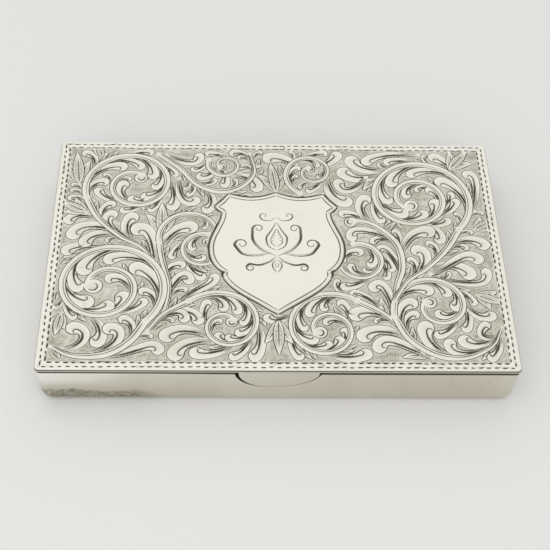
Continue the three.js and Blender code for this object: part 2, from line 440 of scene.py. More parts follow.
def rosettes(e, rows):
    """Pointed leaves that fan out from one root, the middle one on top.

    A row is the root, heading, spread, length, half width and count of the leaves.
    """
    for root, heading, spread, length, widest, count in rows:
        order = sorted(range(count), key=lambda k: abs(k - (count - 1) / 2))
        for k in order:
            aside = (k - (count - 1) / 2) * spread
            reach = length * (1 - 0.25 * abs(aside) / spread)
            tip = polar(root, reach, heading + aside)
            bow = polar(root, reach * 0.55, heading + aside * 0.45)
            blade(e, bezier(root, bow, tip, count=20), widest)


def leaves(e, rows):
    """Lobes placed one by one: four control points, half width of the tip, side it curls to, hair lines."""
    for *controls, tip, bend, hatch in rows:
        lobe(e, bezier(*controls), LOBE_ROOT, tip, bend, hatch)


# --- filling ------------------------------------------------------------------------------------


def sprout(root, heading, side, length, bow):
    """A path that leaves a root at a heading and bends to one side by bow degrees on its way."""
    t = np.linspace(0, 1, 20)
    steps = unit(np.radians(heading + side * (22 + bow * t**1.7)))[:-1] * (length / 19)
    return root + np.concatenate([[[0, 0]], np.cumsum(steps, axis=0)])


def room(e, path, tip, margin):
    """How well a lobe along the path would fit, or None if too much of it would be hidden.

    Its tip has to lie on free metal. The rest may pass behind what is there already.
    """
    t = np.linspace(0, 1, len(path))
    half = LOBE_ROOT + (tip - LOBE_ROOT) * t**0.65
    circle = unit(np.radians(np.arange(0, 360, 24)))
    cap = path[-1] + (tip + margin) * circle
    if (abs(cap) > np.add(e.limit, 0.25)).any():
        return None
    if e.covered[e.cell(np.concatenate([cap, path[t > 0.72]]))].any():
        return None
    late = t > 0.2
    body = np.concatenate([path[late], offset(path, half * 0.9)[late], offset(path, -half * 0.9)[late]])
    lost = float(e.covered[e.cell(body)].mean())
    if lost > 0.35:
        return None
    near = path[-1] + (tip + margin + 0.6) * circle
    beyond = (abs(near) > e.limit).any(axis=1)
    return float((e.covered[e.cell(near)] | beyond).mean()) - 0.8 * lost


def grow(e, shapes, draw_one, margin=0.15):
    """Grows lobes or blades from the stems into the free metal, the largest and snuggest first."""
    for length, bow, tip in shapes:
        options = []
        for stem, half in e.stems:
            ways = normals(stem)
            for k in range(4, len(stem) - 4, 2):
                along = stem[k + 1] - stem[k - 1]
                heading = math.degrees(math.atan2(along[1], along[0]))
                for side in (1, -1):
                    root = stem[k] + ways[k] * side * half[k] * 0.5
                    path = sprout(root, heading, side, length, bow)
                    snug = room(e, path, tip, margin)
                    if snug is not None:
                        bend = side if bow > 0 else -side
                        options.append((snug + e.jitter(0.05), len(options), path, bend))
        options.sort(key=lambda option: (-option[0], option[1]))
        for _, _, path, bend in options:
            if room(e, path, tip, margin) is not None:
                draw_one(path, tip, bend)


# --- the lid's pattern ---------------------------------------------------------------------------

FIELD = (43.7, 27.9)  # half size of the ornamented field


def shield_outline(outwards=0.0):
    """The cartouche: two scallops on top, stepped corners, swelling sides and a pointed foot."""
    half = np.concatenate([
        bezier((0, 14.6), (2.2, 13.4), (5.6, 12.5), (9.7, 14.2), count=16),
        bezier((9.7, 14.2), (10.4, 12.6), (12.0, 11.2), count=6)[1:],
        bezier((12.0, 11.2), (10.9, 10.9), (10.4, 9.9), count=6)[1:],
        bezier((10.4, 9.9), (10.2, 6.6), (12.9, 3.8), (12.9, 0.2), count=16)[1:],
        bezier((12.9, 0.2), (12.9, -3.2), (11.4, -4.8), (9.9, -5.9), count=14)[1:],
        bezier((9.9, -5.9), (10.3, -6.6), (9.9, -7.4), count=5)[1:],
        bezier((9.9, -7.4), (8.4, -10.6), (4.0, -12.4), (0, -15.8), count=18)[1:],
    ])
    whole = np.concatenate([half, (half * (-1, 1))[-2:0:-1]])
    loop = np.concatenate([whole[-1:], whole, whole[:1]])
    return whole + normals(loop)[1:-1] * outwards


def shield(e):
    """Two lines round the shield, cut side by side from corner to corner."""
    sharp = (0, 15, 20, 25, 53, 57, 74)  # points of the outline's right half where it turns sharply
    for outwards, width, grade in ((0.0, 1.3, "line"), (0.95, 2.3, "deep")):
        loop = shield_outline(outwards)
        count = len(loop)
        corners = sorted({k % count for j in sharp for k in (j, count - j)})
        pressure = LINE * width * np.array([0.8, 1.1, 1.25, 1.1, 0.8])
        for a, b in zip(corners, corners[1:] + [corners[0] + count]):
            e.cut(loop[np.arange(a, b + 1) % count], pressure, taper=(0.2, 0.2), grade=grade, hidden=False)
    e.fill(shield_outline(1.2))


def mirrored(e, path, half, taper=(0.4, 0.4)):
    """A cut in the shield and its mirror image."""
    for side in (1, -1):
        e.cut(np.array(path) * (side, 1), half, taper=taper, hidden=False)


def volute(knots, centre, start, turn, radius, end_radius):
    """A stroke that runs through its knots and winds up round a centre."""
    return np.concatenate([smooth(*knots), spiral(centre, start, turn, radius, end_radius, count=34)[1:]])


def flourish(e):
    """A symmetric knot of volutes about a drop, in thick and thin pen strokes, fills the shield."""
    swell = np.array([0.5, 0.8, 1.4, 1.9, 2.0, 1.5, 1.0, 0.6]) * FLOURISH
    thin = np.full(3, 0.65) * FLOURISH
    upper = volute(((0, -1.9), (2.9, -0.6), (4.9, 2.2), (5.0, 5.4)), (3.7, 5.4), 0, 430, 1.3, 0.35)
    middle = volute(((0.9, -0.9), (3.6, -1.9), (6.9, -1.5), (8.7, 0.9)), (7.1, 1.2), -8, 430, 1.6, 0.4)
    lower = volute(((0, -1.9), (1.5, -3.3), (3.5, -4.2), (5.4, -3.9)), (5.3, -5.0), 84, -430, 1.1, 0.35)
    crest = volute(((0, 8.6), (1.2, 7.6), (2.6, 7.7), (3.3, 8.3)), (2.6, 8.9), -40, 330, 0.9, 0.35)
    for path, lane, last in ((upper, 0.32, 28), (middle, 0.32, 28), (lower, -0.28, 26)):
        mirrored(e, path, swell)
        mirrored(e, offset(path, lane)[8 : len(path) - last], thin)
    mirrored(e, crest, swell * 0.7)
    mirrored(e, smooth((0, 7.2), (0.9, 5.2), (2.1, 3.0), (1.7, 0.7), (0, -0.5)), swell * 0.9)
    mirrored(e, smooth((0, 5.5), (0.5, 4.2), (1.2, 2.6), (0.9, 1.2), (0, 0.6)), thin)
    for k in range(5):
        height = 4.6 - 0.7 * k
        mirrored(e, [(0.55 + 0.22 * k, height), (0.1 + 0.18 * k, height - 0.5)], thin, taper=(0.1, 0.2))
    mirrored(e, smooth((0, -2.7), (0.9, -3.9), (0.8, -5.1), (0, -6.4)), swell * 0.7)
    mirrored(e, smooth((0, -3.6), (0.35, -4.3), (0, -5.2)), thin)


def border(e):
    """Two rows of short dashes along each edge of the plate."""
    for inset in ((1.05, 0.8), (1.95, 1.75)):
        for axis in (0, 1):
            reach = e.half[axis] - inset[axis]
            far = e.half[1 - axis] - inset[1 - axis]
            count = int(2 * reach / 1.52)
            for side in (-1, 1):
                for k in range(count):
                    along = -reach + (k + 0.5) * 2 * reach / count + e.jitter(0.08)
                    length = 0.50 + e.jitter(0.06)
                    off = side * far + e.jitter(0.05)
                    a, b = (along - length, off), (along + length, off + e.jitter(0.08))
                    if axis:
                        a, b = a[::-1], b[::-1]
                    width = np.array([0.15, 0.24, 0.24, 0.19]) + e.jitter(0.02)
                    e.cut([a, b], width, taper=(0.16, 0.2), grade="dash", hidden=False)


def runner(e, knots, half, inside=1):
    """A stem that sets out thin and runs into the start of a scroll."""
    ribbon(e, smooth(*knots), half, inside=inside, ends=(1, 0.1))


def left_side(e):
    """The scrolls left of the shield and the stems that feed them, the topmost first."""
    scroll(e, (-34, -10), -45, 585, 11.9, 3.5, (0.8, 0.62), 1.95, lobes=7, power=1.35, tip=1.6)
    foot = ((-43.4, -24.6), (-39, -26.7), (-33, -26.4), (-28.4, -23.2), (-25.59, -18.41))
    runner(e, foot, (0.35, 0.8, 0.8))
    scroll(e, (-29.8, 17.4), 200, -505, 10.4, 3.2, (0.75, 0.6), 1.5, lobes=6, power=1.15, tip=1.2)
    runner(e, ((-24.6, -3.4), (-27.5, 0.3), (-32, 3.2), (-36.8, 8.2), (-39.57, 13.84)), (0.4, 0.75), -1)
    scroll(e, (-10.3, -19.4), 140, -470, 9.2, 2.1, (0.7, 0.5), 1.25, lobes=5, tip=1.0)
    runner(e, ((-25.2, -21.0), (-22.2, -16.8), (-17.35, -13.49)), (0.4, 0.7), -1)
    scroll(e, (-17.2, 3.7), 198, -232, 7.0, 4.4, (0.65, 0.5), 1.2)
    runner(e, ((-24.8, -20.4), (-22.0, -15.5), (-21.5, -9.5), (-23.0, -3.5), (-23.86, 1.54)), (0.4, 0.65), -1)
    scroll(e, (-15.0, -0.4), 75, 255, 4.3, 3.6, (0.6, 0.5), 0.95)
    scroll(e, (-10.6, 23.4), 160, 420, 3.9, 1.5, (0.6, 0.4), 1.0)
    arch = ((-25.0, 26.4), (-20.5, 22.6), (-16.6, 17.8), (-12, 15.7), (-7.6, 16.9), (-4.6, 21), (-5.4, 26.8))
    ribbon(e, smooth(*arch), (0.5, 0.65, 0.7, 0.6, 0.3))


def left_leaves(e):
    """The larger lobes and blades left of the shield."""
    leaves(e, (
        ((-28.5, 1.0), (-33.5, 3.5), (-36.5, 7.5), (-33.9, 9.0), 1.3, -1, 6),
        ((-30.5, 2.6), (-34, 6.2), (-40, 7.6), (-41.4, 3.6), 1.6, 1, 6),
        ((-24.0, -6.0), (-24.6, 0), (-25.2, 5.8), (-28.2, 5.0), 1.75, 1, 5),
        ((-20.3, 19.5), (-21.2, 15), (-19.2, 11.2), (-16.9, 13.0), 1.25, 1, 6),
        ((-23.5, 26.2), (-20, 23.8), (-16.5, 22.8), (-16.3, 25.8), 1.2, 1, 6),
        ((-21.8, -13), (-21, -7.6), (-18, -5.2), (-17.6, -8.2), 1.25, -1, 6),
        ((-19.5, -14.2), (-16.5, -10.3), (-12.9, -10.2), (-12.5, -7.6), 1.15, 1, 6),
        ((-23.3, -18.5), (-21.3, -15.9), (-18.2, -15.3), (-18.2, -17.8), 1.15, -1, 6),
        ((-33, -26.9), (-28, -26.6), (-24.3, -22.4), (-23.0, -25.2), 1.35, -1, 6),
        ((-41.5, -25.2), (-36.2, -25.4), (-35.8, -20.0), (-39.4, -20.2), 1.5, 1, 6),
        ((-36, -26.2), (-30.2, -25.4), (-29.0, -20.2), (-32.4, -20.3), 1.5, 1, 6),
    ))
    rosettes(e, (
        ((-23.4, 3.5), 92, 30, 9.0, 1.25, 3),
        ((-41.3, 17.5), 97, 22, 9.6, 1.2, 3),
        ((-39.2, 9.6), 152, 30, 6.2, 1.1, 3),
        ((-42.0, -16.6), 262, 24, 5.6, 0.95, 3),
        ((-37.0, 25.6), 120, 30, 4.0, 0.8, 2),
    ))


def right_side(e):
    """The scrolls right of the shield and the stems that feed them, the topmost first."""
    scroll(e, (29.3, 14.2), -45, 650, 12.0, 3.3, (0.75, 0.65), 1.7, lobes=8, power=1.2, tip=1.35)
    runner(e, ((22.8, -13.5), (25.8, -8.4), (30.2, -4.8), (34.6, 0.2), (37.79, 5.71)), (0.4, 0.75))
    scroll(e, (31.4, -14.6), 195, -410, 9.1, 2.6, (0.7, 0.6), 1.5, lobes=3, tip=1.25)
    sweep = ((43.4, -19.6), (41, -24), (36, -26.7), (30.5, -26.4), (25.3, -22.6), (22.61, -16.96))
    runner(e, sweep, (0.25, 0.5, 0.7, 0.75, 0.7), -1)
    scroll(e, (9.5, -20.2), 50, 520, 9.2, 2.5, (0.7, 0.55), 1.5, lobes=6, power=1.1, tip=1.05)
    runner(e, ((27.5, -25.6), (24.2, -20.6), (20.2, -16.2), (15.41, -13.15)), (0.4, 0.7))
    rise = smooth((22.6, -15.8), (23.7, -9.6), (25.2, -4.4), (24.4, 1.6), (20.2, 6.4), (15.6, 8.0))
    ribbon(e, rise, (0.4, 0.7, 0.75, 0.6), bulb=1.4)
    scroll(e, (16.6, -3.2), 100, -285, 4.7, 3.9, (0.65, 0.5), 1.0)
    scroll(e, (7.8, 21.4), 245, -500, 6.6, 1.6, (0.65, 0.45), 1.05, lobes=3, tip=0.8)


def right_leaves(e):
    """The larger lobes and blades right of the shield."""
    leaves(e, (
        ((24.2, -9.6), (30.0, -7.2), (31.6, -0.8), (28.7, -0.2), 1.55, 1, 5),
        ((30.4, -6.6), (35.2, -4.4), (38.0, 0.4), (40.6, -2.4), 1.45, -1, 6),
        ((31.5, -7.6), (36.5, -8.8), (42.6, -10.4), (42.0, -5.8), 1.15, 1, 6),
        ((22.6, -17.5), (22.8, -11.5), (20.8, -7.4), (19.2, -9.8), 1.35, 1, 6),
        ((29.5, -27.0), (25.5, -25.2), (20.6, -20.4), (19.2, -24.4), 1.5, 1, 6),
        ((40.6, -24.2), (36.5, -27.2), (32.4, -26.0), (32.8, -23.6), 1.3, -1, 6),
        ((42.4, -21.6), (39.5, -23.4), (37.8, -21.2), (40.2, -19.2), 1.1, -1, 6),
        ((40.9, 10), (42.6, 14.5), (43.8, 21.4), (41.2, 21.2), 1.2, 1, 6),
        ((31.5, 26.8), (26.5, 27.4), (21.8, 27.2), (19.8, 24.8), 1.35, 1, 6),
        ((19.4, 20.4), (17.8, 16.0), (13.4, 14.6), (13.4, 18.4), 1.25, -1, 6),
        ((24.5, 1.8), (21.0, 5.4), (14.6, 6.6), (15.4, 3.2), 1.2, 1, 6),
        ((24.9, -6.4), (24.0, -1.0), (21.8, 2.0), (20.6, -0.4), 1.0, 1, 6),
        ((20.2, -15.2), (18.6, -12.0), (14.6, -10.0), (14.8, -11.8), 0.8, 1, 6),
    ))
    rosettes(e, (
        ((37.4, 22.6), 52, 34, 7.6, 1.1, 3),
        ((40.8, 5.5), 32, 34, 5.4, 0.9, 3),
        ((39.2, -11.6), -22, 34, 6.0, 1.0, 3),
        ((0.2, 15.4), 98, 30, 9.0, 1.1, 3),
        ((22.4, 4.8), 60, 26, 4.2, 0.7, 2),
        ((0.0, -18.0), -90, 26, 8.5, 1.1, 3),
    ))


def ground(e):
    """Short parallel strokes in small blocks darken what the ornament leaves free."""
    e.cover_cuts()
    tile = 2.1
    pitch = 0.3
    count = int(tile * 1.02 / pitch)
    for i in range(-22, 22):
        for j in range(-14, 14):
            middle = np.array([i * tile + e.jitter(0.3), j * tile + e.jitter(0.3)]) + tile / 2
            lean = e.random.choice((90, 90, 90, 82, 98, 4, -4, 60, 120)) + e.jitter(6)
            way = polar((0, 0), 1, lean)
            across = np.array([-way[1], way[0]])
            for k in range(count):
                at = middle + across * (k - (count - 1) / 2) * pitch
                reach = way * (tile * 0.5 + e.jitter(0.15))
                e.cut([at - reach, at + reach], 0.1 + e.jitter(0.025), taper=(0.3, 0.3), grade="ground")


def draw():
    """Every cut on the lid: what is listed first, then what grows into the gaps."""
    e = Engraving(HALF_X, HALF_Y)
    border(e)
    e.limit = FIELD
    for part in (shield, flourish, left_side, right_side, left_leaves, right_leaves):
        part(e)

    def leaf(path, tip, bend):
        lobe(e, path, LOBE_ROOT, tip, bend, hatch=6 if tip > 0.9 else 4)

    def spear(path, tip, _bend):
        blade(e, path, tip, sides=3)

    # length, bow in degrees and half width of what is tried, in this order
    lobes = [(9.0, 90, 1.7), (7.5, 100, 1.5), (8.0, -60, 1.4), (6.5, 105, 1.3), (5.5, 105, 1.1)]
    lobes += [(6.0, -60, 1.1), (4.6, 100, 0.92), (4.6, -50, 0.9), (3.8, 95, 0.75), (3.0, 90, 0.6)]
    spears = [(6.5, 25, 0.95), (5.0, 25, 0.8), (5.0, -35, 0.8)]
    spears += [(3.8, 20, 0.6), (3.8, -30, 0.6), (2.8, 10, 0.5)]
    grow(e, lobes, leaf)
    grow(e, spears, spear, margin=0.05)
    ground(e)
    return e


# --- meshes -------------------------------------------------------------------------------------


def new_object(name, vertices, faces):
    """An object in the scene from millimetre coordinates."""
    mesh = bpy.data.meshes.new(name)
    mesh.from_pydata([tuple(float(c) * MM for c in v) for v in vertices], [], [list(f) for f in faces])
    mesh.validate()
    obj = bpy.data.objects.new(name, mesh)
    bpy.context.scene.collection.objects.link(obj)
    return obj


def stand_for(obj, body, node):
    """Lets a piece ride on a body in the place of a CAD node."""
    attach(obj, body)
    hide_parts(node)


def make_piece(name, vertices, faces, material, body, node, slot):
    """A piece from millimetre coordinates, with smooth faces."""
    obj = new_object(name, vertices, faces)
    obj.data.polygons.foreach_set("use_smooth", [True] * len(obj.data.polygons))
    obj.data.materials.append(material)
    stand_for(obj, body, node)
    return obj


def bake_modifiers(obj):
    """Turns the object's modifiers into plain geometry."""
    depsgraph = bpy.context.evaluated_depsgraph_get()
    mesh = bpy.data.meshes.new_from_object(obj.evaluated_get(depsgraph), depsgraph=depsgraph)
    obj.modifiers.clear()
    obj.data = mesh


def bevel(obj, width, angle):
    """Eases the edges that are sharper than that angle, by a width in mm."""
    edge = obj.modifiers.new("edge", "BEVEL")
    edge.width = width * MM
    edge.segments = 2
    edge.limit_method = "ANGLE"
    edge.angle_limit = math.radians(angle)


def crease(obj, degrees):
    """Smooth faces, with sharp edges where they meet at more than that angle."""
    obj.data.polygons.foreach_set("use_smooth", [True] * len(obj.data.polygons))
    obj.data.set_sharp_from_angle(angle=math.radians(degrees))


def rounded_rectangle(half_x, half_y, radius, arc=8, side=24):
    """The outline of a rounded rectangle, counter-clockwise seen from above."""
    corners = []
    for quarter, (sx, sy) in enumerate(((1, 1), (-1, 1), (-1, -1), (1, -1))):
        turn = np.radians(np.linspace(quarter * 90, quarter * 90 + 90, arc + 1))
        centre = np.array([sx * (half_x - radius), sy * (half_y - radius)])
        corners.append(centre + radius * unit(turn))
    share = np.linspace(0, 1, side + 1)[1:-1, None]
    loop = []
    for corner, following in zip(corners, corners[1:] + corners[:1]):
        loop += [corner, corner[-1] + (following[0] - corner[-1]) * share]
    return np.concatenate(loop)


def ring_faces(lower, upper, count):
    """The faces between two rings of vertices that start at those indices."""
    return [
        (lower + i, lower + (i + 1) % count, upper + (i + 1) % count, upper + i)
        for i in range(count)
    ]


def loft(rings):
    """Vertices and faces of a closed skin through rings of 3-D points, the first one lowest."""
    count = len(rings[0])
    top = (len(rings) - 1) * count
    faces = []
    for lower in range(0, top, count):
        faces += ring_faces(lower, lower + count, count)
    faces += [tuple(range(count))[::-1], tuple(range(top, top + count))]
    return np.concatenate(rings), faces


def quarter(radius, start, end, count):
    """How far in and how far down a rounded edge of that radius is, at even turns between two angles."""
    turns = np.radians(np.linspace(start, end, count))
    return [(radius * (1 - math.cos(turn)), radius * (1 - math.sin(turn))) for turn in turns]


def at_height(outline, z):
    """An outline as 3-D points at that height."""
    return np.column_stack([outline, np.full(len(outline), z)])


# --- the lid ------------------------------------------------------------------------------------

LID_CORNER = 0.9
LID_EASE = 0.24  # radius round the top face
SLOPE = 0.62  # depth of a cut for each mm of half width
# how black each kind of cut is, and how grey the metal is round it
TARNISH = {"line": 0.95, "deep": 1.0, "hair": 0.75, "ground": 0.6, "dash": 1.0}
SOFT = {"line": 0.0, "deep": 1.0, "hair": 0.75, "ground": 0.0, "dash": 0.0}


def lid_rings():
    """(inset, height, darkening) of the rings from the top face's rim round the edge to the underside. The
    darkening grows down the eased edge, is tarnish in the scribed line, and is painted shade of the gap along
    the lower edge and on the underside.
    """
    top, bottom = LID_HIGH[2], LID_LOW[2]
    rings = []
    for turn in map(math.radians, (18, 36, 54, 72, 90)):
        rings.append((LID_EASE * (1 - math.sin(turn)), top - LID_EASE * (1 - math.cos(turn)), turn * 0.5))
    scribe = top - LID_EASE - 0.07  # a fine line below the eased edge
    rings += [(0, scribe + 0.07, 0.7), (0.1, scribe, 1), (0, scribe - 0.07, 0.7), (0, scribe - 0.09, 0.3)]
    # painted shade of the gap under the lid: darker along the lower edge and round onto the underside
    rings += [(0, bottom + 0.17, 0.35), (0.01, bottom + 0.14, 0.8), (0.05, bottom + 0.05, 1)]
    rings += [(0.22, bottom, 1), (0.45, bottom, 0.6), (0.8, bottom, 0)]
    return rings


def plate_lines(e):
    """The points and edges of the top face: its rim, the field's frame, and each cut's spine and sides."""
    points, edges = [], []

    def chain(line, first=None, last=None):
        """Adds points and the edges along them. first and last are points that are there already."""
        ids = [] if first is None else [first]
        ids += range(len(points), len(points) + len(line))
        points.extend(Vector(p) for p in line)
        if last is not None:
            ids.append(last)
        edges.extend(zip(ids, ids[1:]))
        return ids

    rim = rounded_rectangle(HALF_X - LID_EASE, HALF_Y - LID_EASE, LID_CORNER - LID_EASE)
    inner, outer = (rounded_rectangle(FIELD[0] + out, FIELD[1] + out, 0.3, 3, 70) for out in (0.1, 0.22))
    for loop in (rim, inner, outer):
        ids = chain(loop)
        edges.append((ids[-1], ids[0]))
    for path, half, _ in e.cuts:
        side = normals(path) * half[:, None]
        spine = chain(path)
        chain((path + side)[1:-1], spine[0], spine[-1])
        chain((path - side)[1:-1], spine[0], spine[-1])
    return points, edges, len(rim)


def write_attribute(obj, name, domain, values):
    """Stores one number for each point or face, for the material to read."""
    layer = obj.data.attributes.new(name, "FLOAT", domain)
    layer.data.foreach_set("value", values.astype(np.float32))


def engraved_plate(e, material):
    """The lid plate: its top is cut by every stroke of the graver, and its edge is eased."""
    lines, edges, count = plate_lines(e)
    points, _, faces, origin, _, _ = delaunay_2d_cdt(lines, edges, [], 0, 1e-4, True)
    depth, tarnish, shade = cut_depths(e, points)
    flat = np.array([tuple(p) for p in points])
    stack = [np.column_stack([flat, LID_HIGH[2] - depth])]
    place = {source: index for index, sources in enumerate(origin) for source in sources if source < count}
    previous = [place[i] for i in range(count)]
    for level, (inset, z, _) in enumerate(lid_rings()):
        outline = rounded_rectangle(HALF_X - inset, HALF_Y - inset, LID_CORNER - inset * 0.9)
        stack.append(at_height(outline, z))
        first = len(points) + level * count
        here = list(range(first, first + count))
        for i in range(count):
            j = (i + 1) % count
            faces.append((previous[i], here[i], here[j], previous[j]))
        previous = here
    faces.append(tuple(previous[::-1]))

    vertices = np.concatenate(stack)
    obj = make_piece("lid_engraved_plate", vertices, faces, material, "lid", "lid_plate", "silver_engraved")
    # the rings' darkening goes into the tarnish and shade attributes; along the lower edge and underside it
    # is painted shade
    grime_and_shade = np.repeat([grime_and_shade for _, _, grime_and_shade in lid_rings()], count)
    write_attribute(obj, "tarnish", "POINT", np.concatenate([tarnish, grime_and_shade]))
    write_attribute(obj, "shade", "POINT", np.concatenate([shade, grime_and_shade]))
    centres = np.array([face.center for face in obj.data.polygons]) / MM
    matte = e.ground_at(centres) * (centres[:, 2] > LID_HIGH[2] - 0.2)
    write_attribute(obj, "matte", "FACE", matte)
    crease(obj, 12)


def cut_depths(e, points):
    """How deep the plate is cut at each point, how much tarnish lies there, and how grey it is round it."""
    tree = KDTree(len(points))
    for index, p in enumerate(points):
        tree.insert((p[0], p[1], 0), index)
    tree.balance()
    depth, tarnish, shade = np.zeros((3, len(points)))
    for path, half, grade in e.cuts:
        for (ax, ay), (bx, by), wa, wb in zip(path, path[1:], half, half[1:]):
            dx, dy = bx - ax, by - ay
            squared = dx * dx + dy * dy
            reach = math.sqrt(squared) / 2 + max(wa, wb)
            for (px, py, _), index, _ in tree.find_range(((ax + bx) / 2, (ay + by) / 2, 0), reach):
                share = min(1.0, max(0.0, ((px - ax) * dx + (py - ay) * dy) / squared))
                away = math.hypot(px - ax - share * dx, py - ay - share * dy)
                inside = wa + (wb - wa) * share - away
                if inside > -0.02:
                    shade[index] = max(shade[index], SOFT[grade])
                if inside > 0:
                    depth[index] = max(depth[index], inside * SLOPE)
                    tarnish[index] = max(tarnish[index], TARNISH[grade] * min(1.0, inside / 0.06))
    return depth, tarnish, shade


# --- the tray -----------------------------------------------------------------------------------

WALL = 0.8
DRAFT = 0.02  # how far a wall leans in for each mm down
FOOT_R = 1.5  # radius between wall and floor
CORNER_FOOT = 2.3  # radius of the upright corners at the foot
RIM_EASE = 0.2
NOTCH_LOW_X = -2.0
NOTCH_LEFT = 6.4
NOTCH_RIGHT = 9.9
NOTCH_DROP = 4.8
NOTCH_FILLET = 0.8
TAB_RECESS = 0.14  # how far the tab's worn face lies behind its upright outline


def tray_ring(inset, z):
    """One level of the tray's skin, that far in from its upright outline at the rim."""
    top = TRAY_HIGH[2]
    share = min(1.0, max(0.0, (top - z) / top))
    away = inset + DRAFT * max(0.0, top - z)
    corner = LID_CORNER + (CORNER_FOOT - LID_CORNER) * share - min(inset, WALL) * 0.5
    outline = rounded_rectangle(TRAY_HIGH[0] - away, TRAY_HIGH[1] - away, corner, arc=10, side=40)
    return at_height(outline, z)


def tray_rings():
    """The levels of the tray's skin: up its outside, over the rim and down its inside."""
    top = TRAY_HIGH[2]
    inner = FOOT_R - WALL * 0.6
    rings = [tray_ring(away, up) for away, up in quarter(FOOT_R, 90, 0, 9)]
    rings += [tray_ring(0, z) for z in np.linspace(FOOT_R, top - RIM_EASE, 9)[1:]]
    rings += [tray_ring(away, top - down) for away, down in quarter(RIM_EASE, 30, 90, 3)]
    rings += [tray_ring(WALL - away, top - down) for away, down in quarter(RIM_EASE, 90, 30, 3)]
    rings += [tray_ring(WALL, z) for z in np.linspace(top - RIM_EASE, WALL + inner, 7)]
    rings += [tray_ring(WALL + away, WALL + up) for away, up in quarter(inner, 0, 90, 7)[1:]]
    return rings


def hand_work(vertices):
    """Slow, shallow unevenness of hand-raised sheet, zero at the rim and under the foot."""
    x, y, z = vertices.T
    calm = np.clip((TRAY_HIGH[2] - 0.4 - z) / 1.5, 0, 1) * np.clip(z / 1.5, 0, 1)
    wave = (
        np.sin(0.21 * x + 0.9) * np.sin(0.9 * z + 0.4 + 0.05 * x)
        + 0.6 * np.sin(0.47 * x + 2.1 + 0.3 * y)
        + 0.5 * np.sin(0.33 * y - 0.7) * np.cos(0.6 * z)
    )
    push = 0.035 * calm * (wave - 1.2) * 0.45
    on_end = TRAY_HIGH[0] - abs(x) < TRAY_HIGH[1] - abs(y)
    return vertices + np.column_stack([np.sign(x) * push * on_end, np.sign(y) * push * ~on_end, 0 * z])


def prism(outline, low, high):
    """A straight solid: an outline in the XZ plane, swept along Y from low to high."""
    return loft([np.insert(outline, 1, y, axis=1) for y in (low, high)])


def tongue_outline(left, right, drop, top, rise, steps=22):
    """The half-oval of the tab or of its notch in XZ, from its top left round to its top right."""
    middle = (NOTCH_LOW_X, top)
    down = middle + (left, drop) * unit(np.radians(np.linspace(180, 270, steps)))
    up = middle + (right, drop) * unit(np.radians(np.linspace(270, 360, steps)))[1:]
    return np.concatenate([[(NOTCH_LOW_X - left, top + rise)], down, up, [(NOTCH_LOW_X + right, top + rise)]])


def notch_outline():
    """The notch, with its right side eased where it runs out into the rim."""
    top = TRAY_HIGH[2]
    above = 3.0
    oval = tongue_outline(NOTCH_LEFT, NOTCH_RIGHT, NOTCH_DROP, top, above)[:-1]
    centre = np.array([NOTCH_LOW_X + NOTCH_RIGHT + NOTCH_FILLET, top - NOTCH_FILLET])
    ease = centre + NOTCH_FILLET * unit(np.radians(np.linspace(180, 90, 7)))
    keep = oval[(oval[:, 1] < centre[1]) | (oval[:, 0] < NOTCH_LOW_X)]
    return np.concatenate([keep, ease, [[centre[0], top + above]]])


def carve(obj, tools):
    """Cuts each tool out of the object and deletes the tools."""
    for tool in tools:
        cut = obj.modifiers.new(tool.name, "BOOLEAN")
        cut.object = tool
        cut.operation = "DIFFERENCE"
        cut.solver = "EXACT"
    bake_modifiers(obj)
    for tool in tools:
        bpy.data.objects.remove(tool)


def block(low, high):
    """A box between two corners."""
    (x0, y0, z0), (x1, y1, z1) = low, high
    lower = np.array([(x0, y0, z0), (x1, y0, z0), (x1, y1, z0), (x0, y1, z0)])
    return loft([lower, lower + (0, 0, z1 - z0)])


def fix_normals(obj):
    """Turns every face outwards."""
    bm = bmesh.new()
    bm.from_mesh(obj.data)
    bmesh.ops.recalc_face_normals(bm, faces=bm.faces)
    bm.to_mesh(obj.data)
    bm.free()


def line_inside(obj, material):
    """Gives a third material to the faces inside the tray."""
    obj.data.materials.append(material)
    for face in obj.data.polygons:
        x, y, z = face.center / MM
        depth = min(TRAY_HIGH[0] - abs(x), TRAY_HIGH[1] - abs(y))
        if z > 0.5 and depth > 0.68:
            face.material_index = 2


def tray(material, slit_shade, inside):
    """The pressed shell, with the thumb notch and the hinge's seat cut out of it."""
    vertices, faces = loft(tray_rings())
    skin = hand_work(vertices)
    obj = make_piece("tray_pressed_shell", skin, faces, material, "tray", "tray_shell", "silver_polished")
    front = TRAY_LOW[1]
    notch = new_object("notch", *prism(notch_outline(), front - 1, front + 3))
    seat_x = TRAY_HIGH[0] - WALL - 0.02
    cradle = box_mm("tray_knuckle_1")[1][1] - AXIS_Y + 0.06
    seat_low = (-seat_x, AXIS_Y - cradle, AXIS_Z - cradle - 0.04)
    seat = new_object("seat", *block(seat_low, (seat_x, AXIS_Y + 5, AXIS_Z + 5)))
    for solid in (notch, seat, obj):
        fix_normals(solid)
    carve(obj, [notch, seat])
    bevel(obj, 0.07, 50)
    bake_modifiers(obj)
    crease(obj, 40)
    paint_slit_shade(obj, slit_shade)
    line_inside(obj, inside)


def paint_slit_shade(obj, material):
    """Gives a second material, a near-black painted shade, to the faces that line the gap between the tab and
    the notch.
    """
    obj.data.materials.append(material)
    for face in obj.data.polygons:
        x, y, z = face.center / MM
        near_notch = abs(x - NOTCH_LOW_X) < NOTCH_RIGHT + 0.5 and z > TRAY_HIGH[2] - NOTCH_DROP - 0.15
        if near_notch and y < TRAY_LOW[1] + WALL + 0.1 and abs(face.normal.y) < 0.85:
            face.material_index = 1


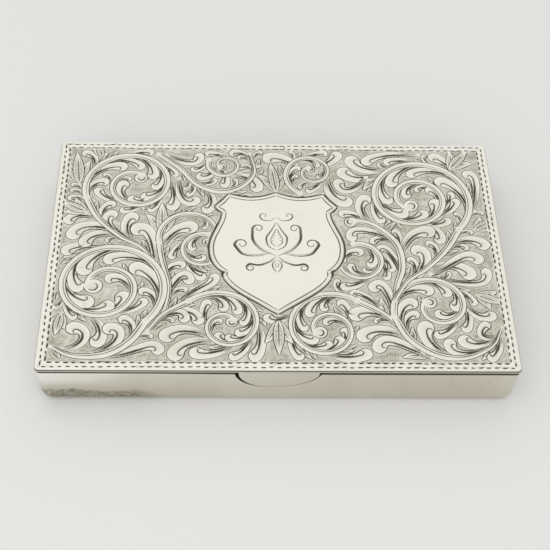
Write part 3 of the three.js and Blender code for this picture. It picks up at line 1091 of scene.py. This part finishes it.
def thumb_tab(material, slit_shade):
    """The half-oval tongue, slightly rounded over at its rim."""
    rim = TRAY_HIGH[2]
    left = NOTCH_LOW_X - TAB_LOW[0]
    right = TAB_HIGH[0] - NOTCH_LOW_X
    drop = rim - TAB_LOW[2]
    front, back = TAB_LOW[1] + TAB_RECESS, TAB_HIGH[1]
    rings = []
    for inset, y in ((0.17, back), (0.09, back - 0.03), (0.06, back - 0.12), (0.06, front + 0.10),
                     (0.075, front + 0.03), (0.105, front + 0.008), (0.15, front)):
        outline = tongue_outline(left - inset, right - inset, drop - inset, rim, TAB_HIGH[2] - rim, steps=40)
        rings.append(np.insert(outline, 1, y, axis=1))
    obj = make_piece("thumb_tab_tongue", *loft(rings), material, "lid", "thumb_tab", "silver_polished")
    fix_normals(obj)
    crease(obj, 40)
    paint_slit_shade(obj, slit_shade)


# --- the hinge and the rims ---------------------------------------------------------------------


def tube(name, node, body, outer, inner, material, slot):
    """A knuckle or pin along the hinge axis, with eased ends, as long as its CAD node."""
    x0, x1 = (corner[0] for corner in box_mm(node))
    ease = 0.06 if inner else outer * 0.4
    bore = inner or 0.01
    shy = 0.3 * ease
    section = [(x0 + ease, outer), (x1 - ease, outer), (x1 - shy, outer - shy), (x1, outer - ease)]
    section += [(x1, bore), (x0, bore), (x0, outer - ease), (x0 + shy, outer - shy)]
    ring = unit(np.radians(np.arange(0, 360, 7.5)))
    count = len(ring)
    rings = [np.insert((AXIS_Y, AXIS_Z) + ring * r, 0, x, axis=1) for x, r in section]
    faces = []
    for level in range(len(rings)):
        faces += ring_faces(level * count, ((level + 1) % len(rings)) * count, count)
    obj = make_piece(name, np.concatenate(rings), faces, material, body, node, slot)
    fix_normals(obj)
    crease(obj, 35)


def eased(name, node, body, material, width=0.08):
    """A CAD node's own shape with its edges eased."""
    source = frame["nodes"][node]
    obj = bpy.data.objects.new(name, source.data.copy())
    obj.data.materials.clear()
    obj.data.materials.append(material)
    obj.matrix_world = source.matrix_world
    bpy.context.scene.collection.objects.link(obj)
    weld = obj.modifiers.new("weld", "WELD")
    weld.merge_threshold = 0.001 * MM
    planes = obj.modifiers.new("planes", "DECIMATE")
    planes.decimate_type = "DISSOLVE"
    planes.angle_limit = math.radians(2)
    bevel(obj, width, 40)
    bake_modifiers(obj)
    crease(obj, 35)
    stand_for(obj, body, node)


def hinge_and_rims(satin, wire):
    """The seven knuckles, the pin, the two bearer strips, the locating rims and their pips."""
    barrel = box_mm("tray_knuckle_1")[1][1] - AXIS_Y
    for node in sorted(frame["nodes"]):
        if "_knuckle_" in node:
            body, _, number = node.split("_")
            tube(f"{body}_hinge_tube_{number}", node, body, barrel, 0.5, satin, "silver_satin")
    pin = box_mm("hinge_pin")[1][1] - AXIS_Y
    tube("hinge_pin_wire", "hinge_pin", "tray", pin, 0, wire, "pin_wire")
    for body in ("tray", "lid"):
        eased(f"{body}_bearer_strip", f"{body}_hinge_bearer", body, satin)
    for word in ("front", "left", "right"):
        eased(f"locating_rim_{word}", f"lid_rim_{word}", "lid", satin)
    for word in ("left", "right"):
        eased(f"snap_pip_{word}", f"rim_pip_{word}", "lid", satin, width=0.01)


# --- materials ----------------------------------------------------------------------------------


class Nodes:
    """Short ways to add and link shader nodes in one material."""

    def __init__(self, name):
        self.material = bpy.data.materials.new(name)
        self.material.use_nodes = True
        self.tree = self.material.node_tree
        self.shader = self.tree.nodes["Principled BSDF"]

    def put(self, socket, value):
        """Links a socket to another one, or sets its value."""
        if isinstance(value, bpy.types.NodeSocket):
            self.tree.links.new(value, socket)
        else:
            socket.default_value = value

    def surface(self, **values):
        """Sets or links the shader's sockets, named with _ for a blank."""
        for name, value in values.items():
            self.put(self.shader.inputs[name.replace("_", " ")], value)

    def node(self, kind, output, inputs, **settings):
        """The output of a new node, once its settings are made and its inputs set or linked."""
        node = self.tree.nodes.new("ShaderNode" + kind)
        for name, value in settings.items():
            setattr(node, name, value)
        for name, value in inputs.items():
            self.put(node.inputs[name], value)
        return node.outputs[output]

    def math(self, operation, a, b, clamp=False):
        return self.node("Math", "Value", {0: a, 1: b}, operation=operation, use_clamp=clamp)

    def times(self, a, b):
        return self.math("MULTIPLY", a, b)

    def plus(self, a, b):
        return self.math("ADD", a, b)

    def most(self, a, b):
        return self.math("MAXIMUM", a, b)

    def rest(self, a):
        """What a leaves of 1."""
        return self.math("SUBTRACT", 1.0, a)

    def mix(self, share, a, b):
        return self.node("Mix", "Result", {"Factor": share, "A": a, "B": b}, data_type="RGBA")

    def ramp(self, value, low, high):
        """0 below low, 1 above high, smooth between them."""
        inputs = {"Value": value, "From Min": low, "From Max": high}
        return self.node("MapRange", "Result", inputs, interpolation_type="SMOOTHSTEP")

    def place(self, stretch=(1, 1, 1), turn=0):
        """Object coordinates, turned about the vertical by that many degrees and scaled."""
        place = self.node("TexCoord", "Object", {})
        rotation = (0, 0, math.radians(turn))
        return self.node("Mapping", "Vector", {"Vector": place, "Rotation": rotation, "Scale": stretch})

    def coordinates(self):
        """The three object coordinates as numbers, in metres."""
        return tuple(self.node("SeparateXYZ", "X", {"Vector": self.place()}).node.outputs)

    def noise(self, scale, detail, roughness, vector=None):
        inputs = {"Vector": vector or self.place(), "Scale": scale, "Detail": detail, "Roughness": roughness}
        return self.node("TexNoise", "Fac", inputs)

    def attribute(self, name):
        return self.node("Attribute", "Fac", {}, attribute_name=name)

    def bump(self, height, strength, distance):
        inputs = {"Strength": strength, "Distance": distance, "Height": height}
        self.surface(Normal=self.node("Bump", "Normal", inputs))


SILVER = (0.90, 0.885, 0.795, 1)
WARM_TARNISH = (0.62, 0.55, 0.42, 1)
# tarnish and painted shade on the tray wall
WALL_TARNISH_AND_SHADE = (0.55, 0.505, 0.415, 1)
# a painted highlight on the tray wall
HIGHLIGHT_SILVER = (0.97, 0.96, 0.93, 1)
# tarnish in cuts and pits, and painted shade under the lid's seam and edge
DARK_TARNISH_AND_SHADE = (0.084, 0.075, 0.049, 1)
GROUND_TARNISH = (0.335, 0.312, 0.215, 1)
OLIVE_TARNISH = (0.20, 0.19, 0.14, 1)


def silver_base(nodes, roughness, warm):
    """Old polished silver: its colour, with faint warm patches, and its fine scratches."""
    cloud = nodes.noise(38, 4, 0.55)
    patches = nodes.ramp(nodes.noise(70, 5, 0.6), 0.52, 0.78)
    colour = nodes.mix(nodes.times(patches, warm), SILVER, WARM_TARNISH)
    scratch_a = nodes.noise(1100, 2, 0.5, nodes.place((0.08, 1, 1), 14))
    scratch_b = nodes.noise(900, 2, 0.5, nodes.place((1, 0.1, 1), -31))
    scratches = nodes.plus(scratch_a, scratch_b)
    dull = nodes.plus(nodes.times(cloud, 0.14), roughness - 0.07)
    dull = nodes.plus(dull, nodes.times(nodes.ramp(scratches, 0.95, 1.25), 0.04))
    nodes.surface(Metallic=1.0, Roughness=dull)
    return colour, scratches, dull


def polished_silver(name, seam_shade_strength):
    """The tray's outside: taupe with age, blotched low on the left, with painted shade towards the bottom and
    under the seam with the lid, and a painted highlight at its upper left.
    """
    nodes = Nodes(name)
    colour, scratches, _ = silver_base(nodes, 0.20, 0.25)
    x, y, z = nodes.coordinates()
    top = TRAY_HIGH[2] * MM
    left = TRAY_LOW[0] * MM
    front = TRAY_LOW[1] * MM
    # tarnish of age in streaks and darker towards the right, with painted shade darker towards the bottom on
    # the left, and less of both under a painted highlight at the upper left
    painted_highlight = nodes.times(nodes.ramp(z, 0.45 * top, 0.95 * top), nodes.rest(nodes.ramp(x, left, 0.55 * left)))
    rightward = nodes.ramp(x, 0.6 * left, 0.0)
    # painted shade: darker towards the bottom, less so towards the right
    low = nodes.times(nodes.rest(nodes.ramp(z, 0.0, 0.9 * top)), nodes.rest(nodes.times(rightward, 0.8)))
    streaks = nodes.noise(45, 3, 0.5, nodes.place((1, 1, 0.3)))
    tarnish_and_shade = nodes.plus(nodes.times(low, 0.45), nodes.times(streaks, 0.7))
    tarnish_and_shade = nodes.plus(nodes.plus(tarnish_and_shade, nodes.times(rightward, 0.16)), 0.02)
    tarnish_and_shade = nodes.math("SUBTRACT", tarnish_and_shade, nodes.times(painted_highlight, 0.85), clamp=True)
    colour = nodes.mix(tarnish_and_shade, colour, WALL_TARNISH_AND_SHADE)
    # painted highlight: brighter silver at the upper left
    colour = nodes.mix(nodes.times(painted_highlight, 0.9), colour, HIGHLIGHT_SILVER)
    # blotches along the foot
    near_foot = nodes.rest(nodes.ramp(z, 0.12 * top, 0.60 * top))
    near_left = nodes.rest(nodes.ramp(x, 0.80 * left, 0.30 * left))
    near_front = nodes.rest(nodes.ramp(y, 0.97 * front, 0.75 * front))
    corner = nodes.times(nodes.times(near_foot, near_left), near_front)
    patch = nodes.ramp(nodes.plus(corner, nodes.noise(220, 3, 0.6)), 0.80, 1.15)
    grain = nodes.ramp(nodes.noise(1500, 4, 0.7), 0.35, 0.60)
    blotch = nodes.times(patch, nodes.plus(nodes.times(grain, 0.6), 0.2))
    colour = nodes.mix(blotch, colour, OLIVE_TARNISH)
    # a few pits, and painted shade in a band under the seam with the lid, reaching lower on the right
    pits = nodes.ramp(nodes.noise(900, 2, 0.5), 0.745, 0.78)
    seam_z = nodes.plus(z, nodes.times(rightward, 0.22 * MM))
    seam = nodes.ramp(seam_z, top - 0.36 * MM, top - 0.18 * MM)
    dark = nodes.most(nodes.times(pits, 0.6), nodes.times(seam, seam_shade_strength))
    nodes.surface(Base_Color=nodes.mix(dark, colour, DARK_TARNISH_AND_SHADE))
    nodes.bump(scratches, 0.02, 0.00003)
    return nodes.material


def slit_shade_material():
    """Painted shade for the gap round the tab: the sawn edges of the thumb notch, near black."""
    nodes = Nodes("slit_painted_shade")
    colour = nodes.mix(nodes.noise(500, 3, 0.5), (0.06, 0.055, 0.045, 1), (0.14, 0.13, 0.11, 1))
    nodes.surface(Base_Color=colour, Metallic=0.4, Roughness=0.6)
    return nodes.material


def engraved_silver():
    """The lid: dark in the cuts, patchy grey on the free ground, soft grey round deep strokes, and darker on
    its edge, with painted shade along the lower edge and underside.
    """
    nodes = Nodes("silver_engraved")
    colour, scratches, base = silver_base(nodes, 0.27, 0.28)
    # the tarnish attribute holds tarnish in the cuts and the scribed line, and painted shade along the
    # plate's lower edge and underside
    tarnish = nodes.ramp(nodes.attribute("tarnish"), 0.08, 0.75)
    matte = nodes.attribute("matte")
    patchy = nodes.plus(nodes.times(nodes.noise(330, 2, 0.5), 0.9), -0.08)
    grey = nodes.most(nodes.times(matte, patchy), nodes.times(nodes.attribute("shade"), 0.2))
    colour = nodes.mix(tarnish, nodes.mix(grey, colour, GROUND_TARNISH), DARK_TARNISH_AND_SHADE)
    dull = nodes.most(nodes.times(tarnish, 0.55), nodes.times(matte, 0.45))
    nodes.surface(Base_Color=colour, Roughness=nodes.most(base, dull))
    nodes.surface(Metallic=nodes.rest(nodes.times(tarnish, 0.7)))
    nodes.bump(scratches, 0.02, 0.00003)
    return nodes.material


def satin_silver():
    """The inside, the hinge and the rims: polished less and worn more."""
    nodes = Nodes("silver_satin")
    colour, scratches, _ = silver_base(nodes, 0.36, 0.5)
    nodes.surface(Base_Color=colour)
    nodes.bump(scratches, 0.06, 0.00004)
    return nodes.material


def pin_wire():
    """The hinge pin's greyer wire."""
    nodes = Nodes("pin_wire")
    colour, scratches, _ = silver_base(nodes, 0.34, 0.3)
    nodes.surface(Base_Color=nodes.mix(0.4, colour, (0.5, 0.49, 0.47, 1)))
    nodes.bump(scratches, 0.1, 0.00005)
    return nodes.material


def table_top():
    """Pale matt paper, barely uneven in tone."""
    nodes = Nodes("pale_table")
    colour = nodes.mix(nodes.noise(3, 2, 0.5), (0.87, 0.87, 0.855, 1), (0.89, 0.89, 0.875, 1))
    nodes.surface(Base_Color=colour, Roughness=0.6, Specular_IOR_Level=0.25)
    return nodes.material


# --- studio -------------------------------------------------------------------------------------

CAMERA_AZIMUTH = -2.97
CAMERA_ELEVATION = 50.95
CAMERA_ROLL = 2.65
CAMERA_DISTANCE = 253.4
CAMERA_SHIFT = (-0.39, -5.36)  # how far the camera is slid to its right and up, in mm
LENS = 81.8
TABLE_REACH = 6000  # half size of the table top
TABLE_GAP = 0.02  # how far the table lies below the case


def camera():
    """The camera at the photograph's viewing angle, aimed near the middle of the lid."""
    azimuth, elevation, roll = map(math.radians, (CAMERA_AZIMUTH, CAMERA_ELEVATION, CAMERA_ROLL))
    back = Vector((
        math.sin(azimuth) * math.cos(elevation),
        -math.cos(azimuth) * math.cos(elevation),
        math.sin(elevation),
    ))
    right = Vector((math.cos(azimuth), math.sin(azimuth), 0))
    up = back.cross(right)
    right, up = (
        right * math.cos(roll) + up * math.sin(roll),
        up * math.cos(roll) - right * math.sin(roll),
    )
    target = Vector((0, 0, LID_HIGH[2]))
    place = target + back * CAMERA_DISTANCE + right * CAMERA_SHIFT[0] + up * CAMERA_SHIFT[1]
    data = bpy.data.cameras.new("camera")
    data.lens = LENS
    data.sensor_width = 36
    data.clip_start = 0.01
    data.clip_end = 20
    obj = bpy.data.objects.new("camera", data)
    obj.matrix_world = Matrix.Translation(place * MM) @ Matrix((right, up, back)).transposed().to_4x4()
    bpy.context.scene.collection.objects.link(obj)
    bpy.context.scene.camera = obj


def softbox(name, place, size, power):
    """A rectangular light that faces the middle of the case's foot."""
    data = bpy.data.lights.new(name, "AREA")
    data.shape = "RECTANGLE"
    data.size, data.size_y = size
    data.energy = power
    obj = bpy.data.objects.new(name, data)
    obj.location = place
    obj.rotation_euler = (-Vector(place)).to_track_quat("-Z", "Y").to_euler()
    bpy.context.scene.collection.objects.link(obj)


def studio():
    """The table, the pale surroundings and four softboxes."""
    reach = TABLE_REACH
    corners = [(-reach, -reach, 0), (reach, -reach, 0), (reach, reach, 0), (-reach, reach, 0)]
    table = new_object("table", corners, [(0, 1, 2, 3)])
    table.data.materials.append(table_top())
    table.location.z = CAD_LOW.z - TABLE_GAP * MM

    world = bpy.data.worlds.new("studio")
    world.use_nodes = True
    background = world.node_tree.nodes["Background"]
    background.inputs["Color"].default_value = (1.0, 0.995, 0.985, 1)
    background.inputs["Strength"].default_value = 0.60
    scene = bpy.context.scene
    scene.world = world
    scene.view_settings.view_transform = "Standard"
    scene.view_settings.look = "None"
    # place and size in metres, power in watts
    softbox("back_softbox", (-0.06, 0.52, 0.66), (1.1, 0.8), 0.95)
    softbox("overhead_softbox", (-0.1, -0.15, 0.9), (0.9, 0.7), 1.0)
    softbox("left_softbox", (-0.75, -0.10, 0.42), (0.6, 0.5), 0.4)
    softbox("front_softbox", (-0.05, -0.75, 0.40), (1.2, 0.5), 1.9)


# --- everything together ------------------------------------------------------------------------

bpy.context.scene.unit_settings.scale_length = 1
# painted shade for the gap round the thumb tab
slit_shade = slit_shade_material()
satin = satin_silver()
engraved_plate(draw(), engraved_silver())
# the tray gets the painted shade under the seam with the lid, the tab gets none
tray(polished_silver("silver_polished", 1.0), slit_shade, satin)
thumb_tab(polished_silver("silver_polished_tab", 0.0), slit_shade)
hinge_and_rims(satin, pin_wire())
studio()
camera()
